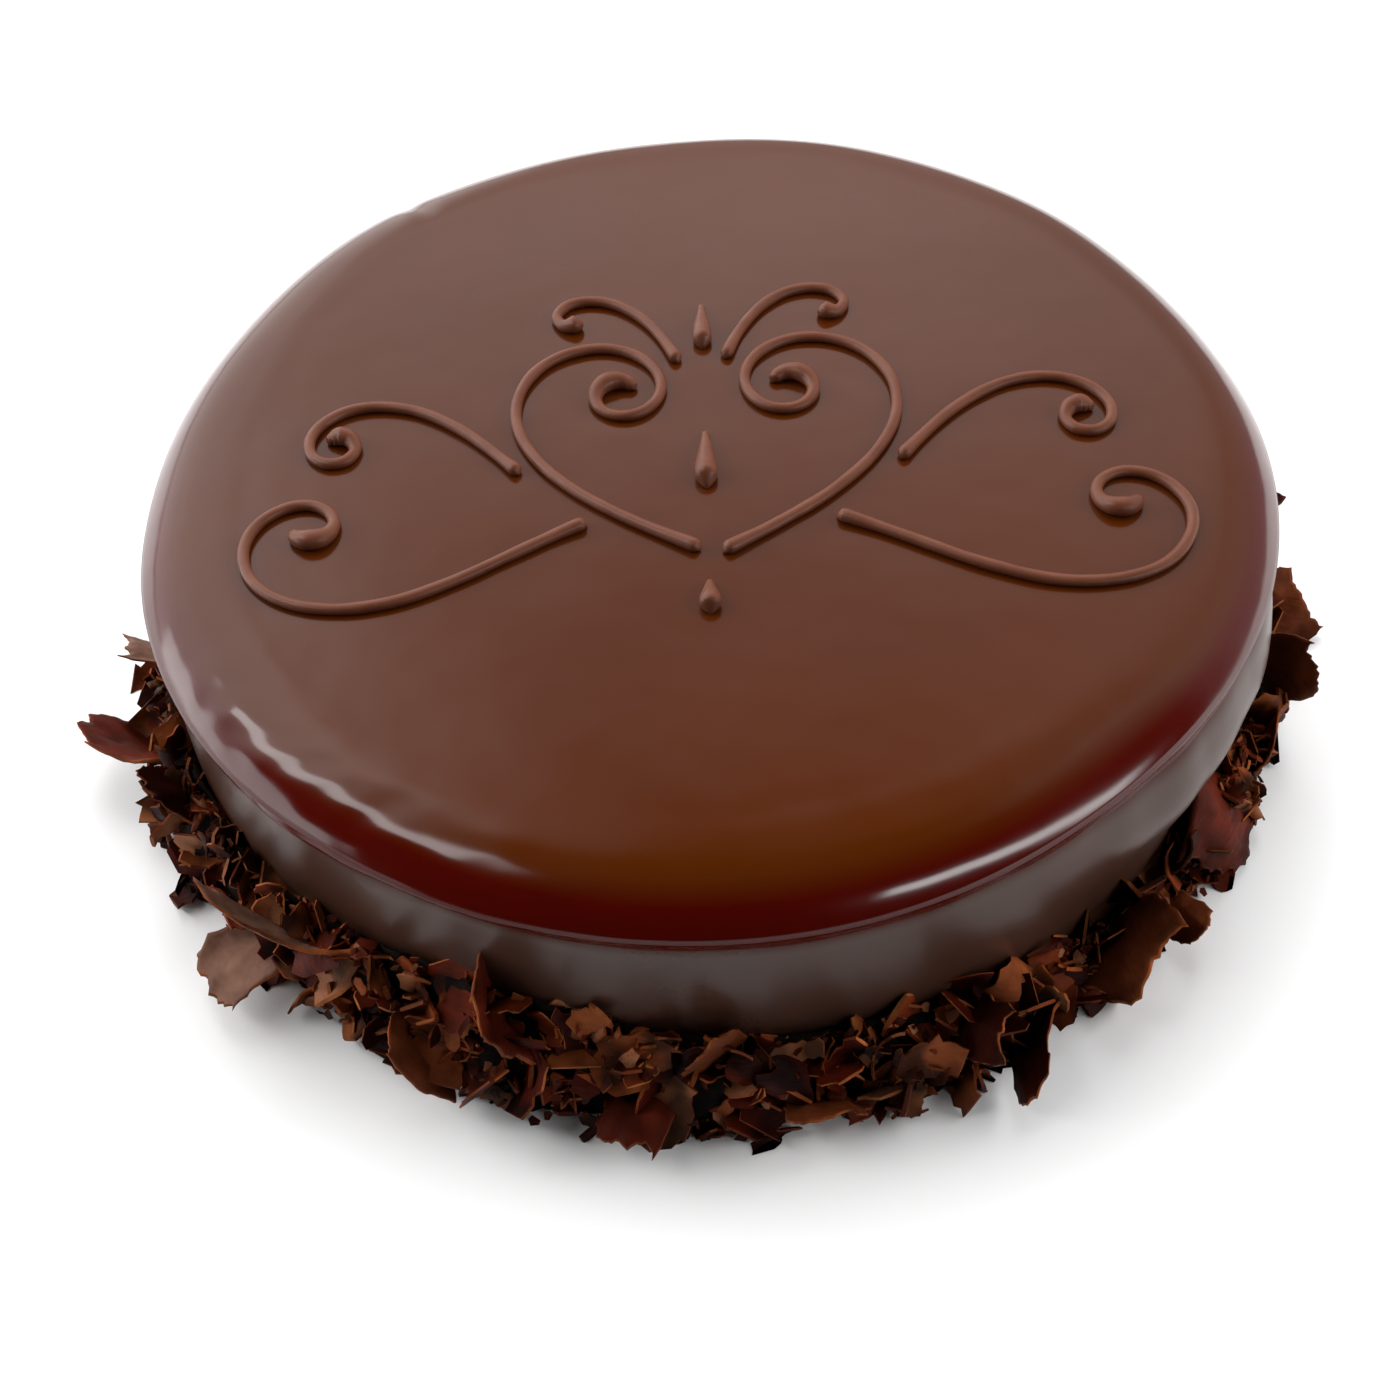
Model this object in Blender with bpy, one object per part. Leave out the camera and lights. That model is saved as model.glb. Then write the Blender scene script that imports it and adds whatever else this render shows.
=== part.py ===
"""A whole, uncut sachertorte: a round cake under a smooth chocolate glaze, with a heart-shaped scroll
piped on its top and a coat of chocolate flakes pressed round the foot of its side.

Metres, +Z up. The origin is the centre of the cake's flat base, and -Y is the front.
"""

import math
import random

import bmesh
import bpy
from mathutils import Matrix, Vector

MM = 0.001
TAU = 2 * math.pi
GAP = 0.3 * MM  # left between pieces that touch

# The glazed cake
CAKE_RADIUS = 120 * MM
CAKE_HEIGHT = 63 * MM
DOME = 0.8 * MM  # how far the middle of the top stands above its rim
SHOULDER_WIDTH = 22 * MM  # how far in from the rim the glaze begins to fall
SHOULDER_CURVE = 3.6  # the higher, the longer the top stays level and the steeper it falls at the rim
RIM_FALL = 8.5 * MM  # how far the rim's widest place lies below the top
LIP_DEPTH = 1.4 * MM  # how far the rolled edge stands out from the wall below it
LIP_FALL = 5 * MM  # height over which the lip runs back into the wall
CAKE_AROUND = 84  # divisions round the cake
SHOULDER_STEPS = 5
# A hand-glazed cake isn't quite round: lobes as (number round the rim, height, phase in degrees)
LOBES = ((2, 1.2 * MM, 60), (3, 0.5 * MM, -45), (5, 0.8 * MM, -55))

# The coat of small flakes round the foot of the side
COAT_HEIGHT = 19 * MM
# Its upper edge wanders up and down: waves as (number round the cake, height, phase in degrees)
COAT_WAVES = ((1, 5.5 * MM, -150), (2, 2 * MM, 120), (3, 3 * MM, 30), (8, 2 * MM, 180))
COAT_RAGGED = 2.2 * MM  # how far single flakes reach above or stop short of that edge
COAT_FOOT = 11 * MM  # how far it spreads from the wall at the base
FOOT_WAVES = ((4, 1.1 * MM, 15), (9, 1.1 * MM, 80), (17, 0.9 * MM, -100))
COAT_TOP = 3 * MM  # its thickness at the upper edge
COAT_ROUGHNESS = 2.6 * MM
EDGE_ROUGHNESS = 0.3  # share of that roughness which is left at the upper edge and the base
COAT_AROUND = 100
COAT_ROWS = 6

# The large flakes that stand out of the coat, in two staggered tiers. "level" is a share of the coat's
# height there, and "lean" has its limits in degrees
TIERS = (
    {"level": 0.35, "lean": (5, 50)},
    {"level": 0.8, "lean": (30, 75)},
)
FLAKES_PER_TIER = 18
# The limits between which each flake's facts are drawn
FLAKE_LIMITS = {
    "span": (14 * MM, 20 * MM),
    "slimness": (0.7, 1.25),  # its width as a share of its span
    "pinch": (0.45, 1),  # the outer end's width as a share of the root's
    "slant": (-0.22, 0.22),  # how far the outer end runs off to one side, as a share of the width
    "shear": (-0.14, 0.14),  # how much further one side reaches than the other, as a share of the span
    "bulge": (-0.1, 0.3),  # how far the sides bow out
    "arch": (-0.08, 0.2),  # how far the outer end bows out
    "thickness": (0.9 * MM, 1.7 * MM),
    "curl": (-75, 75),  # curvature per metre along its length
    "cup": (-70, 70),  # curvature per metre across its width
    "twist": (-25, 25),  # turn per metre of length, in radians
    "drift": (-3, 3),  # degrees round the cake from its even place
    "climb": (-2 * MM, 2 * MM),  # height from its tier's level
    "skew": (-50, 50),  # degrees that it turns away from pointing straight out
    "roll": (-50, 50),  # degrees that it turns about its own length
}
# What differs for the flakes that stand out furthest. "angle" is the place round the cake in degrees
LANDMARKS = {
    "flake_2_09": {"angle": 164, "skew": 0},
    "flake_1_10": {"angle": 174, "height": 17 * MM, "span": 18 * MM, "slimness": 0.6, "lean": 25, "skew": 0},
    "flake_2_10": {"angle": 187, "height": 17 * MM, "span": 18 * MM, "slimness": 1.2, "lean": 22, "skew": 0},
    "flake_1_11": {"angle": 197, "height": 9 * MM, "span": 20 * MM, "slimness": 1.2, "lean": 4, "skew": 0},
    "flake_2_12": {"angle": 231, "height": 20 * MM, "span": 28 * MM, "slimness": 0.6, "lean": 2, "skew": -50},
    "flake_2_17": {"angle": 329, "height": 11 * MM, "span": 21 * MM, "slimness": 1.4, "lean": -28, "roll": 0},
    "flake_2_18": {"angle": 349, "height": 13 * MM, "span": 19 * MM, "slimness": 0.7, "lean": 20, "skew": 10},
}
FLAKE_THINNING = 0.45  # share of its thickness that a flake loses towards its outer end
SIDE_THINNING = 0.25  # and towards its sides
FLAKE_COLUMNS = 3
FLAKE_ROWS = 3
FLAKE_SUNK = 7 * MM  # how deep a flake's root is pressed into the coat
TRIM_GAP = 0.9 * MM  # how far outside the coat a flake's root is trimmed, so that it clears the slopes
FLAKE_SEED = 11

# The piped scroll
LINE_RADIUS = 1.25 * MM
STEP_ALONG = 4.8 * MM  # mean spacing of the points that a piped line follows
CROWDING = 1.5  # how much closer they lie towards the curled end
# name: start x, y in mm; heading in degrees; length in mm; bends as (share of length, curvature per metre)
STROKES = {
    "heart": ((2.9, -33), 32, 150, ((0, 0), (0.22, 14), (0.45, 46), (0.75, 78), (1, 235))),
    "low_tendril": ((26.5, -23.6), -24, 128, ((0, -10), (0.2, 4), (0.5, 40), (0.8, 92), (1, 290))),
    "high_tendril": ((40.8, -7.5), 52, 86, ((0, 0), (0.3, -22), (0.65, -85), (1, -330))),
    "crest": ((4.8, 26), 72, 50, ((0, -8), (0.4, -35), (0.7, -110), (1, -420))),
}
# A line's swell at its blunt start and at the bead near its end, as shares of its radius, and where they sit
START_SWELL = 0.25
START_REACH = 0.05
BEAD_SWELL = 0.75
BEAD_MIDDLE = 0.955
BEAD_REACH = 0.035
END_TAPER = 0.5
# Drops on the middle line: name: y of the middle in mm, length in mm, radius in mm
DROPS = {
    "heart_drop": (-6, 17, 2.6),
    "crest_drop": (37, 15, 2.3),
    "foot_drop": (-45, 9, 2.4),
}
DROP_STEPS = 8
DROP_TIP = 0.27  # thickness left at both ends, as a share of the radius
DROP_FATNESS = 0.55  # the smaller, the nearer the fattest place is to the foot
DROP_TAPER = 0.45
# The left half was piped by the same hand, not by a mirror: its size and turn
LEFT_SIZE = 0.97
LEFT_TURN = math.radians(-2.0)

GLAZE_COLOUR = (0.085, 0.030, 0.016)
PIPING_COLOUR = (0.175, 0.062, 0.036)
FLAKE_COLOUR = (0.060, 0.020, 0.011)


def clear_scene():
    for obj in list(bpy.data.objects):
        bpy.data.objects.remove(obj, do_unlink=True)


def make_material(name, colour, roughness):
    material = bpy.data.materials.new(name)
    material.use_nodes = True
    shader = material.node_tree.nodes["Principled BSDF"]
    shader.inputs["Base Color"].default_value = (*colour, 1)
    shader.inputs["Roughness"].default_value = roughness
    shader.inputs["Metallic"].default_value = 0
    return material


def add_object(name, data, material):
    data.materials.append(material)
    obj = bpy.data.objects.new(name, data)
    bpy.context.scene.collection.objects.link(obj)
    return obj


def mesh_from(name, bm, sharp_over=35):
    """The bmesh as a mesh with its faces pointing out, smooth where it bends less than sharp_over degrees."""
    bmesh.ops.recalc_face_normals(bm, faces=bm.faces)
    mesh = bpy.data.meshes.new(name)
    bm.to_mesh(mesh)
    bm.free()
    mesh.shade_smooth()
    mesh.set_sharp_from_angle(angle=math.radians(sharp_over))
    return mesh


# ---------------------------------------------------------------- cake


def wave_sum(waves, angle):
    return sum(height * math.cos(count * angle - math.radians(phase)) for count, height, phase in waves)


def rim_radius(angle):
    """Radius of the glaze's rim at this angle round the cake."""
    return CAKE_RADIUS + wave_sum(LOBES, angle)


def wall_radius(angle):
    return rim_radius(angle) - LIP_DEPTH


def top_height(radius):
    """Height of the glazed top at this distance from its middle."""
    return CAKE_HEIGHT + DOME * (1 - (radius / CAKE_RADIUS) ** 2)


def shoulder_fall(share):
    """How far the glaze has fallen. share is 0 where it begins to fall and 1 at the rim."""
    return RIM_FALL * share**SHOULDER_CURVE


def cake_section(angle):
    """The outline of the cake from beside its middle, over the edge and down, as (radius, height)."""
    rim = rim_radius(angle)
    flat_end = rim - SHOULDER_WIDTH
    section = [(flat_end * 0.6, top_height(flat_end * 0.6))]
    edge_height = top_height(flat_end)
    for step in range(SHOULDER_STEPS + 1):
        share = math.sqrt(step / SHOULDER_STEPS)
        section.append((flat_end + SHOULDER_WIDTH * share, edge_height - shoulder_fall(share)))
    lip_height = edge_height - RIM_FALL
    section.append((rim - 0.25 * LIP_DEPTH, lip_height - 0.45 * LIP_FALL))
    section.append((wall_radius(angle), lip_height - LIP_FALL))
    section.append((wall_radius(angle), 0))
    return section


def loft(sections, closed_section):
    """A bmesh through the sections, one at each division round the cake. An open section is capped by a fan.

    It is made of triangles whose diagonals all run one way, so that the coat and its cutter bend alike.
    """
    bm = bmesh.new()
    rings = []
    for index, section in enumerate(sections):
        angle = TAU * index / len(sections)
        turn = Matrix.Rotation(angle, 3, "Z")
        rings.append([bm.verts.new(turn @ Vector((radius, 0, height))) for radius, height in section])
    edges = [(i, i + 1) for i in range(len(sections[0]) - 1)]
    if closed_section:
        edges.append((len(sections[0]) - 1, 0))
    for ring, following in zip(rings, rings[1:] + rings[:1]):
        for i, j in edges:
            bm.faces.new((ring[i], following[i], following[j]))
            bm.faces.new((ring[i], following[j], ring[j]))
    if not closed_section:
        top = bm.verts.new((0, 0, top_height(0)))
        for ring, following in zip(rings, rings[1:] + rings[:1]):
            bm.faces.new((top, ring[0], following[0]))
        bm.faces.new([ring[-1] for ring in rings])
    return bm


def make_cake(material):
    sections = [cake_section(TAU * i / CAKE_AROUND) for i in range(CAKE_AROUND)]
    return add_object("glazed_cake", mesh_from("glazed_cake", loft(sections, False)), material)


# ---------------------------------------------------------------- coat of flakes


def coat_height(angle):
    return COAT_HEIGHT + wave_sum(COAT_WAVES, angle)


def coat_foot(angle):
    """How far the coat stands out from the wall at the base."""
    return COAT_FOOT + wave_sum(FOOT_WAVES, angle)


def coat_thickness(angle, down):
    """The coat's thickness, bellied like a heap. down runs from 0 at its upper edge to 1 at the base."""
    return COAT_TOP + (coat_foot(angle) - COAT_TOP) * math.sin(down * math.pi / 2)


def coat_sections():
    """Each division's (height, thickness) rows from the upper edge down, rough as heaped flakes are."""
    rng = random.Random(FLAKE_SEED)
    columns = []
    for index in range(COAT_AROUND):
        angle = TAU * index / COAT_AROUND
        height = coat_height(angle) + COAT_RAGGED * rng.uniform(-1, 1)
        rows = []
        for row in range(COAT_ROWS):
            down = row / (COAT_ROWS - 1)
            rough = COAT_ROUGHNESS * rng.uniform(-1, 1) * max(EDGE_ROUGHNESS, math.sin(down * math.pi))
            rows.append((height * (1 - down), coat_thickness(angle, down) + rough))
        columns.append(rows)
    return columns


def make_coat(material):
    sections = []
    for index, rows in enumerate(coat_sections()):
        inner = wall_radius(TAU * index / COAT_AROUND) + GAP
        outer = [(inner + thickness, height) for height, thickness in rows]
        sections.append([(inner, 0), (inner, rows[0][0]), *outer])
    return add_object("flake_coat", mesh_from("flake_coat", loft(sections, True), sharp_over=12), material)


def make_coat_cutter(material):
    """The space that the cake's side and the coat fill, a little grown: it trims the large flakes' roots."""
    sections = []
    for index, rows in enumerate(coat_sections()):
        inner = wall_radius(TAU * index / COAT_AROUND) + GAP
        outer = [(inner + thickness + TRIM_GAP, height) for height, thickness in rows]
        top = rows[0][0] + TRIM_GAP
        sections.append(
            [(0.5 * inner, 2 * CAKE_HEIGHT), (inner, 2 * CAKE_HEIGHT), (inner, top), (outer[0][0], top)]
            + outer[1:]
            + [(outer[-1][0], -COAT_HEIGHT), (0.5 * inner, -COAT_HEIGHT)]
        )
    cutter = add_object("coat_cutter", mesh_from("coat_cutter", loft(sections, True)), material)
    cutter.hide_render = True
    cutter.display_type = "WIRE"
    return cutter


# ---------------------------------------------------------------- large flakes


def flake_facts(rng, name, tier, number):
    """One flake's size, shape and place: drawn within the limits, then changed where it is a landmark."""
    facts = {fact: rng.uniform(*limits) for fact, limits in FLAKE_LIMITS.items()}
    stagger = 0.5 if tier is TIERS[1] else 0
    facts["angle"] = 360 * (number + stagger) / FLAKES_PER_TIER + facts["drift"]
    facts["height"] = tier["level"] * coat_height(math.radians(facts["angle"])) + facts["climb"]
    facts["lean"] = rng.uniform(*tier["lean"])
    facts.update(LANDMARKS.get(name, {}))
    return facts


def flake_point(facts, across, along, side):
    """A point of the bent plate: across and along run from 0 to 1, and side is -1 or 1 for its two faces."""
    span = facts["span"]
    width = span * facts["slimness"]
    taper = 1 + (facts["pinch"] - 1) * along + facts["bulge"] * math.sin(math.pi * along)
    x = width * ((across - 0.5) * taper + facts["slant"] * along)
    y = span * along * (1 + facts["shear"] * (across - 0.5) + facts["arch"] * math.sin(math.pi * across))
    bend = facts["curl"] * y**2 / 2 + facts["cup"] * x**2 / 2 + facts["twist"] * x * y
    thinning = 1 - FLAKE_THINNING * along - SIDE_THINNING * abs(2 * across - 1)
    return Vector((x, y, bend + side * 0.5 * facts["thickness"] * thinning))


def flake_mesh(name, facts, columns, rows):
    """A closed plate: a grid for each face, joined round its edge."""
    bm = bmesh.new()
    faces = {}
    for side in (-1, 1):
        faces[side] = [
            [bm.verts.new(flake_point(facts, i / columns, j / rows, side)) for i in range(columns + 1)]
            for j in range(rows + 1)
        ]
        for j in range(rows):
            for i in range(columns):
                grid = faces[side]
                bm.faces.new((grid[j][i], grid[j][i + 1], grid[j + 1][i + 1], grid[j + 1][i]))
    border = [(0, i) for i in range(columns)]
    border += [(j, columns) for j in range(rows)]
    border += [(rows, i) for i in range(columns, 0, -1)]
    border += [(j, 0) for j in range(rows, 0, -1)]
    for (j, i), (k, m) in zip(border, border[1:] + border[:1]):
        bm.faces.new((faces[-1][j][i], faces[-1][k][m], faces[1][k][m], faces[1][j][i]))
    return mesh_from(name, bm)


def flake_place(facts):
    """Where a large flake is rooted and how it stands: its own Y runs along it, its own Z out of its face."""
    angle = math.radians(facts["angle"])
    height = facts["height"]
    down = max(0, 1 - height / coat_height(angle))
    root = wall_radius(angle) + coat_thickness(angle, down)
    heading = angle - math.pi / 2 + math.radians(facts["skew"])
    place = Matrix.Translation((root * math.cos(angle), root * math.sin(angle), height))
    place @= Matrix.Rotation(heading, 4, "Z")
    place @= Matrix.Rotation(math.radians(facts["lean"]), 4, "X")
    place @= Matrix.Rotation(math.radians(facts["roll"]), 4, "Y")
    return place @ Matrix.Translation((0, -FLAKE_SUNK, 0))


def lift_onto_floor(mesh, place):
    """Raises the placed flake where a corner would reach below the surface that the cake stands on."""
    lowest = min((place @ vert.co).z for vert in mesh.vertices)
    return Matrix.Translation((0, 0, max(0, GAP - lowest))) @ place


def make_large_flakes(material, cutter):
    rng = random.Random(FLAKE_SEED)
    for tier_number, tier in enumerate(TIERS, 1):
        for number in range(FLAKES_PER_TIER):
            name = f"flake_{tier_number}_{number + 1:02d}"
            facts = flake_facts(rng, name, tier, number)
            mesh = flake_mesh(name, facts, FLAKE_COLUMNS, FLAKE_ROWS)
            flake = add_object(name, mesh, material)
            flake.matrix_world = lift_onto_floor(mesh, flake_place(facts))
            trim = flake.modifiers.new("trim_root", "BOOLEAN")
            trim.operation = "DIFFERENCE"
            trim.object = cutter


# ---------------------------------------------------------------- piped scroll


def curvature_at(share, bends):
    for (low, first), (high, second) in zip(bends, bends[1:]):
        if share <= high:
            return first + (second - first) * (share - low) / (high - low)
    return bends[-1][1]


def stroke_points(start, heading, length, bends):
    """Points along a line, each with its share of the length. The curvature runs evenly between the bends."""
    count = round(length * MM / STEP_ALONG)
    shares = [1 - (1 - i / count) ** CROWDING for i in range(count + 1)]
    here = Vector((start[0] * MM, start[1] * MM))
    direction = math.radians(heading)
    points = [here.copy()]
    for before, after in zip(shares, shares[1:]):
        step = (after - before) * length * MM
        turn = curvature_at((before + after) / 2, bends) * step
        direction += turn / 2
        here += Vector((math.cos(direction), math.sin(direction))) * step
        direction += turn / 2
        points.append(here.copy())
    return points, shares


def bump(share, middle, reach):
    """A smooth hump of height 1 round the middle."""
    return math.exp(-(((share - middle) / reach) ** 2))


def line_swell(share):
    """The line's thickness: a blunt start, a thin run and a bead where the bag was lifted."""
    swell = 1 + START_SWELL * bump(share, 0, START_REACH) + BEAD_SWELL * bump(share, BEAD_MIDDLE, BEAD_REACH)
    return swell * (END_TAPER if share in (0, 1) else 1)


def drop_swell(share):
    """A teardrop's thickness: fat towards its foot and drawn out to a point."""
    return DROP_TIP + (1 - DROP_TIP) * math.sin(math.pi * share**DROP_FATNESS) * (1 - DROP_TAPER * share)


def make_line(name, points, radii, material):
    """A piped line laid on the top: a round bead along the points, with closed ends."""
    curve = bpy.data.curves.new(name, "CURVE")
    curve.dimensions = "3D"
    curve.bevel_depth = 1
    curve.bevel_resolution = 2
    curve.use_fill_caps = True
    spline = curve.splines.new("POLY")
    spline.points.add(len(points) - 1)
    for target, point, radius in zip(spline.points, points, radii):
        target.co = (point.x, point.y, top_height(point.length) + GAP + radius, 1)
        target.radius = radius
    return add_object(name, curve, material)


def left_half(point):
    """The place on the left half that matches a point of the right half."""
    turned = Matrix.Rotation(LEFT_TURN, 2) @ (point * LEFT_SIZE)
    return Vector((-turned.x, turned.y))


def make_scroll(material):
    for stroke, facts in STROKES.items():
        points, shares = stroke_points(*facts)
        radii = [LINE_RADIUS * line_swell(share) for share in shares]
        make_line(f"{stroke}_right", points, radii, material)
        make_line(f"{stroke}_left", [left_half(point) for point in points], radii, material)
    for drop, (middle, length, radius) in DROPS.items():
        shares = [i / DROP_STEPS for i in range(DROP_STEPS + 1)]
        points = [Vector((0, (middle + (share - 0.5) * length) * MM)) for share in shares]
        make_line(drop, points, [radius * MM * drop_swell(share) for share in shares], material)


def main():
    clear_scene()
    glaze = make_material("chocolate_glaze", GLAZE_COLOUR, 0.2)
    piping = make_material("piped_chocolate", PIPING_COLOUR, 0.42)
    flakes = make_material("chocolate_flakes", FLAKE_COLOUR, 0.5)
    make_cake(glaze)
    make_coat(flakes)
    make_large_flakes(flakes, make_coat_cutter(flakes))
    make_scroll(piping)


main()
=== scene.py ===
"""The looks of the sachertorte: its poured glaze, piped scroll and broken chocolate flakes, on a pale floor.

Metres, +Z up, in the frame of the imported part, with -Y towards the front.
"""

import math
import random

import bpy
import numpy as np
from mathutils import Euler, Matrix, Quaternion, Vector, noise


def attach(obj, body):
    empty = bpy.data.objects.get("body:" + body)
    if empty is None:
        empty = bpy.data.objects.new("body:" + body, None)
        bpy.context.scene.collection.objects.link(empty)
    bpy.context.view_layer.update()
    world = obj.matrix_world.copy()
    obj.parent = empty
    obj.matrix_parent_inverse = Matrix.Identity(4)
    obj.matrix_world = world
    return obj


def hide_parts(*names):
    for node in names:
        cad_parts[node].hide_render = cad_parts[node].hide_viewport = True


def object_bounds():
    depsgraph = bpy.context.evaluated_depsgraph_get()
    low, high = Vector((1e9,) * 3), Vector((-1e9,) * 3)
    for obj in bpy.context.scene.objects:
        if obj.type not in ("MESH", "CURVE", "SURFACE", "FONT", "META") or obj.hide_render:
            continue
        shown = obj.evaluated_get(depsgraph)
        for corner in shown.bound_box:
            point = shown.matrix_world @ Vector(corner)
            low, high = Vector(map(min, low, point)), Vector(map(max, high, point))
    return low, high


MM = 0.001
TAU = 2 * math.pi
GAP = 0.3 * MM  # what the solids leave between pieces that touch
TIGHT = 0.05 * MM  # how far inside the solids' outer box the flakes stay

# ---------------------------------------------------------------- sizes that the solids also have

CAKE_RADIUS = 120 * MM
CAKE_HEIGHT = 63 * MM
DOME = 0.8 * MM
SHOULDER_WIDTH = 22 * MM
SHOULDER_CURVE = 3.6
RIM_FALL = 8.5 * MM
LIP_DEPTH = 1.4 * MM
LIP_FALL = 5 * MM
LOBES = ((2, 1.2 * MM, 60), (3, 0.5 * MM, -45), (5, 0.8 * MM, -55))

COAT_HEIGHT = 19 * MM
COAT_WAVES = ((1, 5.5 * MM, -150), (2, 2 * MM, 120), (3, 3 * MM, 30), (8, 2 * MM, 180))
COAT_FOOT = 11 * MM
FOOT_WAVES = ((4, 1.1 * MM, 15), (9, 1.1 * MM, 80), (17, 0.9 * MM, -100))
COAT_TOP = 3 * MM

TIERS = (
    {"level": 0.35, "lean": (5, 50)},
    {"level": 0.8, "lean": (30, 75)},
)
FLAKES_PER_TIER = 18
FLAKE_LIMITS = {
    "span": (14 * MM, 20 * MM),
    "slimness": (0.7, 1.25),
    "pinch": (0.45, 1),
    "slant": (-0.22, 0.22),
    "shear": (-0.14, 0.14),
    "bulge": (-0.1, 0.3),
    "arch": (-0.08, 0.2),
    "thickness": (0.9 * MM, 1.7 * MM),
    "curl": (-75, 75),
    "cup": (-70, 70),
    "twist": (-25, 25),
    "drift": (-3, 3),
    "climb": (-2 * MM, 2 * MM),
    "skew": (-50, 50),
    "roll": (-50, 50),
}
LANDMARKS = {
    "flake_2_09": {"angle": 164, "skew": 0},
    "flake_1_10": {"angle": 174, "height": 17 * MM, "span": 18 * MM, "slimness": 0.6, "lean": 25, "skew": 0},
    "flake_2_10": {"angle": 187, "height": 17 * MM, "span": 18 * MM, "slimness": 1.2, "lean": 22, "skew": 0},
    "flake_1_11": {"angle": 197, "height": 9 * MM, "span": 20 * MM, "slimness": 1.2, "lean": 4, "skew": 0},
    "flake_2_12": {"angle": 231, "height": 20 * MM, "span": 28 * MM, "slimness": 0.6, "lean": 2, "skew": -50},
    "flake_2_17": {"angle": 329, "height": 11 * MM, "span": 21 * MM, "slimness": 1.4, "lean": -28, "roll": 0},
    "flake_2_18": {"angle": 349, "height": 13 * MM, "span": 19 * MM, "slimness": 0.7, "lean": 20, "skew": 10},
}
FLAKE_THINNING = 0.45
SIDE_THINNING = 0.25
FLAKE_COLUMNS = 3
FLAKE_ROWS = 3
FLAKE_SUNK = 7 * MM
FLAKE_SEED = 11

LINE_RADIUS = 1.25 * MM
STEP_ALONG = 4.8 * MM
CROWDING = 1.5
STROKES = {
    "heart": ((2.9, -33), 32, 150, ((0, 0), (0.22, 14), (0.45, 46), (0.75, 78), (1, 235))),
    "low_tendril": ((26.5, -23.6), -24, 128, ((0, -10), (0.2, 4), (0.5, 40), (0.8, 92), (1, 290))),
    "high_tendril": ((40.8, -7.5), 52, 86, ((0, 0), (0.3, -22), (0.65, -85), (1, -330))),
    "crest": ((4.8, 26), 72, 50, ((0, -8), (0.4, -35), (0.7, -110), (1, -420))),
}
START_SWELL = 0.25
START_REACH = 0.05
BEAD_SWELL = 0.75
BEAD_MIDDLE = 0.955
BEAD_REACH = 0.035
END_TAPER = 0.5
DROPS = {
    "heart_drop": (-6, 17, 2.6),
    "crest_drop": (37, 15, 2.3),
    "foot_drop": (-45, 9, 2.4),
}
DROP_STEPS = 8
DROP_TIP = 0.27
DROP_FATNESS = 0.55
DROP_TAPER = 0.45
LEFT_SIZE = 0.97
LEFT_TURN = math.radians(-2.0)

# ---------------------------------------------------------------- sizes of the finer forms

GLAZE_AROUND = 720
TOP_RINGS = 40
SHOULDER_RINGS = 30
LIP_RINGS = 10
WALL_RINGS = 26

PIPE_SIDES = 14
PIPE_STEPS = 9  # points between two of the solid's
PIPE_SETTLED = 0.28  # share of its radius that a line has sunk into the glaze while wet

TORN_COLUMNS = 18
TORN_ROWS = 18

SHADOW_CORE_SHRINK = 3.2 * MM  # how far under the heap's outline the near-black sheet of painted shade lies


def wave_sum(waves, angle):
    return sum(height * np.cos(count * angle - math.radians(phase)) for count, height, phase in waves)


def rim_radius(angle):
    return CAKE_RADIUS + wave_sum(LOBES, angle)


def wall_radius(angle):
    return rim_radius(angle) - LIP_DEPTH


def top_height(radius):
    return CAKE_HEIGHT + DOME * (1 - (radius / CAKE_RADIUS) ** 2)


def glaze_height(radius, angle):
    """Height of the glaze between the middle and the rim. Works on numbers and on arrays."""
    flat_end = rim_radius(angle) - SHOULDER_WIDTH
    share = np.clip((radius - flat_end) / SHOULDER_WIDTH, 0, 1)
    return top_height(np.minimum(radius, flat_end)) - RIM_FALL * share**SHOULDER_CURVE


def coat_height(angle):
    return COAT_HEIGHT + wave_sum(COAT_WAVES, angle)


def coat_foot(angle):
    return COAT_FOOT + wave_sum(FOOT_WAVES, angle)


def coat_thickness(angle, down):
    return COAT_TOP + (coat_foot(angle) - COAT_TOP) * math.sin(down * math.pi / 2)


def bump(share, middle, reach):
    """A smooth hump of height 1 round the middle. Works on numbers and on arrays."""
    return np.exp(-(((share - middle) / reach) ** 2))


# ---------------------------------------------------------------- meshes


def mesh_object(name, vertices, faces, materials, material_of=None):
    """A smooth-shaded mesh object. material_of gives each face's material number."""
    mesh = bpy.data.meshes.new(name)
    mesh.from_pydata([tuple(v) for v in vertices], [], faces)
    for material in materials:
        mesh.materials.append(material)
    if material_of is not None:
        mesh.polygons.foreach_set("material_index", material_of)
    mesh.shade_smooth()
    mesh.update()
    obj = bpy.data.objects.new(name, mesh)
    bpy.context.scene.collection.objects.link(obj)
    return obj


def dress(obj, slot, *nodes):
    """A piece in place of solids: it rides on the body and replaces the nodes, which it hides. slot is not used."""
    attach(obj, "root")
    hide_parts(*nodes)
    return obj


def grid_faces(rows, columns, closed):
    """Quads of a grid whose columns run round: vertex number = column * rows + row."""
    faces = []
    last = columns if closed else columns - 1
    for column in range(last):
        here = column * rows
        beyond = (column + 1) % columns * rows
        for row in range(rows - 1):
            faces.append((here + row, here + row + 1, beyond + row + 1, beyond + row))
    return faces


# ---------------------------------------------------------------- materials


def new_material(name):
    material = bpy.data.materials.new(name)
    material.use_nodes = True
    return material, material.node_tree.nodes, material.node_tree.links


def noise_node(nodes, links, source, scale, detail=4, roughness=0.55, distortion=0):
    node = nodes.new("ShaderNodeTexNoise")
    node.inputs["Scale"].default_value = scale
    node.inputs["Detail"].default_value = detail
    node.inputs["Roughness"].default_value = roughness
    node.inputs["Distortion"].default_value = distortion
    links.new(source, node.inputs["Vector"])
    return node.outputs["Fac"]


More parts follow.
